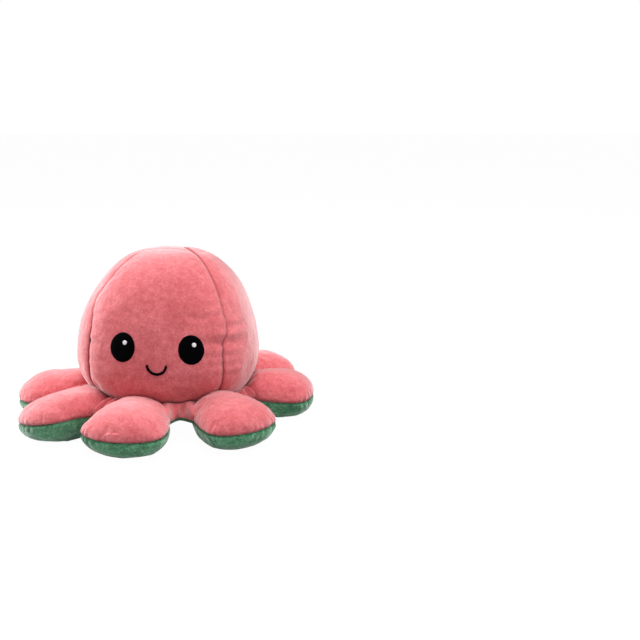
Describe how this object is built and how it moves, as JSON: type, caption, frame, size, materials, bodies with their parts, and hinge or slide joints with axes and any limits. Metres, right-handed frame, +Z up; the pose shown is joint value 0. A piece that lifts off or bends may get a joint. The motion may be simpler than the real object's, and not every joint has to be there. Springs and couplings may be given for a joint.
{
  "type": "reversible plush octopus",
  "caption": "Sewn plush octopus that turns inside out: a smiling pink head over a frowning green lining head, with stuffed tentacles that flex at their sewn roots.",
  "frame": {"origin": "on the floor under the middle of the toy's footprint", "axes": "+Z up through the crown, the face looks to -Y, +X to the right of a viewer who faces it"},
  "size_m": [0.2008, 0.1982, 0.1143],
  "materials": {
    "pink_plush": "short pile plush",
    "green_plush": "short pile plush",
    "black_thread": "satin stitch embroidery",
    "white_thread": "satin stitch embroidery",
    "fibre_fill": "loose polyester fibre"
  },
  "bodies": {
    "head": {"head_gore_front": "pink_plush", "lining_gore_front": "green_plush", "head_gore_right": "pink_plush", "lining_gore_right": "green_plush", "head_gore_back": "pink_plush", "lining_gore_back": "green_plush", "head_gore_left": "pink_plush", "lining_gore_left": "green_plush", "head_fill": "fibre_fill", "smile_eye_left": "black_thread", "smile_eye_glint_left": "white_thread", "frown_eye_left": "black_thread", "frown_eye_glint_left": "white_thread", "smile_eye_right": "black_thread", "smile_eye_glint_right": "white_thread", "frown_eye_right": "black_thread", "frown_eye_glint_right": "white_thread", "smile_mouth": "black_thread", "frown_mouth": "black_thread", "skirt_top": "pink_plush", "skirt_bottom": "green_plush"},
    "tentacle_left": {"tentacle_top_left": "pink_plush", "tentacle_bottom_left": "green_plush", "tentacle_fill_left": "fibre_fill"},
    "tentacle_front_left": {"tentacle_top_front_left": "pink_plush", "tentacle_bottom_front_left": "green_plush", "tentacle_fill_front_left": "fibre_fill"},
    "tentacle_front": {"tentacle_top_front": "pink_plush", "tentacle_bottom_front": "green_plush", "tentacle_fill_front": "fibre_fill"},
    "tentacle_front_right": {"tentacle_top_front_right": "pink_plush", "tentacle_bottom_front_right": "green_plush", "tentacle_fill_front_right": "fibre_fill"},
    "tentacle_right": {"tentacle_top_right": "pink_plush", "tentacle_bottom_right": "green_plush", "tentacle_fill_right": "fibre_fill"},
    "tentacle_back_right": {"tentacle_top_back_right": "pink_plush", "tentacle_bottom_back_right": "green_plush", "tentacle_fill_back_right": "fibre_fill"},
    "tentacle_back": {"tentacle_top_back": "pink_plush", "tentacle_bottom_back": "green_plush", "tentacle_fill_back": "fibre_fill"},
    "tentacle_back_left": {"tentacle_top_back_left": "pink_plush", "tentacle_bottom_back_left": "green_plush", "tentacle_fill_back_left": "fibre_fill"}
  },
  "joints": [
    {"name": "tentacle_left_root", "type": "hinge", "parent": "head", "child": "tentacle_left", "pos_m": [-0.04233, -0.00044, 0.0147], "axis": [0.0087, 1, 0], "range_deg": [-35, 15], "stiffness_Nm_per_rad": 0.03, "springref_deg": -4.98},
    {"name": "tentacle_front_left_root", "type": "hinge", "parent": "head", "child": "tentacle_front_left", "pos_m": [-0.03236, -0.02941, 0.0147], "axis": [-0.6225, 0.7826, 0], "range_deg": [-35, 15], "stiffness_Nm_per_rad": 0.03, "springref_deg": -4.98},
    {"name": "tentacle_front_root", "type": "hinge", "parent": "head", "child": "tentacle_front", "pos_m": [-0.00496, -0.04594, 0.0147], "axis": [-0.9826, 0.1857, 0], "range_deg": [-35, 15], "stiffness_Nm_per_rad": 0.03, "springref_deg": -4.98},
    {"name": "tentacle_front_right_root", "type": "hinge", "parent": "head", "child": "tentacle_front_right", "pos_m": [0.03245, -0.03651, 0.0147], "axis": [-0.7771, -0.6293, 0], "range_deg": [-35, 15], "stiffness_Nm_per_rad": 0.03, "springref_deg": -4.98},
    {"name": "tentacle_right_root", "type": "hinge", "parent": "head", "child": "tentacle_right", "pos_m": [0.0494, 0.00156, 0.0147], "axis": [0.0523, -0.9986, 0], "range_deg": [-35, 15], "stiffness_Nm_per_rad": 0.03, "springref_deg": -4.98},
    {"name": "tentacle_back_right_root", "type": "hinge", "parent": "head", "child": "tentacle_back_right", "pos_m": [0.03574, 0.0319, 0.0147], "axis": [0.7133, -0.7009, 0], "range_deg": [-35, 15], "stiffness_Nm_per_rad": 0.03, "springref_deg": -4.98},
    {"name": "tentacle_back_root", "type": "hinge", "parent": "head", "child": "tentacle_back", "pos_m": [0.00517, 0.04503, 0.0147], "axis": [0.9994, -0.0349, 0], "range_deg": [-35, 15], "stiffness_Nm_per_rad": 0.03, "springref_deg": -4.98},
    {"name": "tentacle_back_left_root", "type": "hinge", "parent": "head", "child": "tentacle_back_left", "pos_m": [-0.02774, 0.03273, 0.0147], "axis": [0.7314, 0.682, 0], "range_deg": [-35, 15], "stiffness_Nm_per_rad": 0.03, "springref_deg": -4.98}
  ]
}
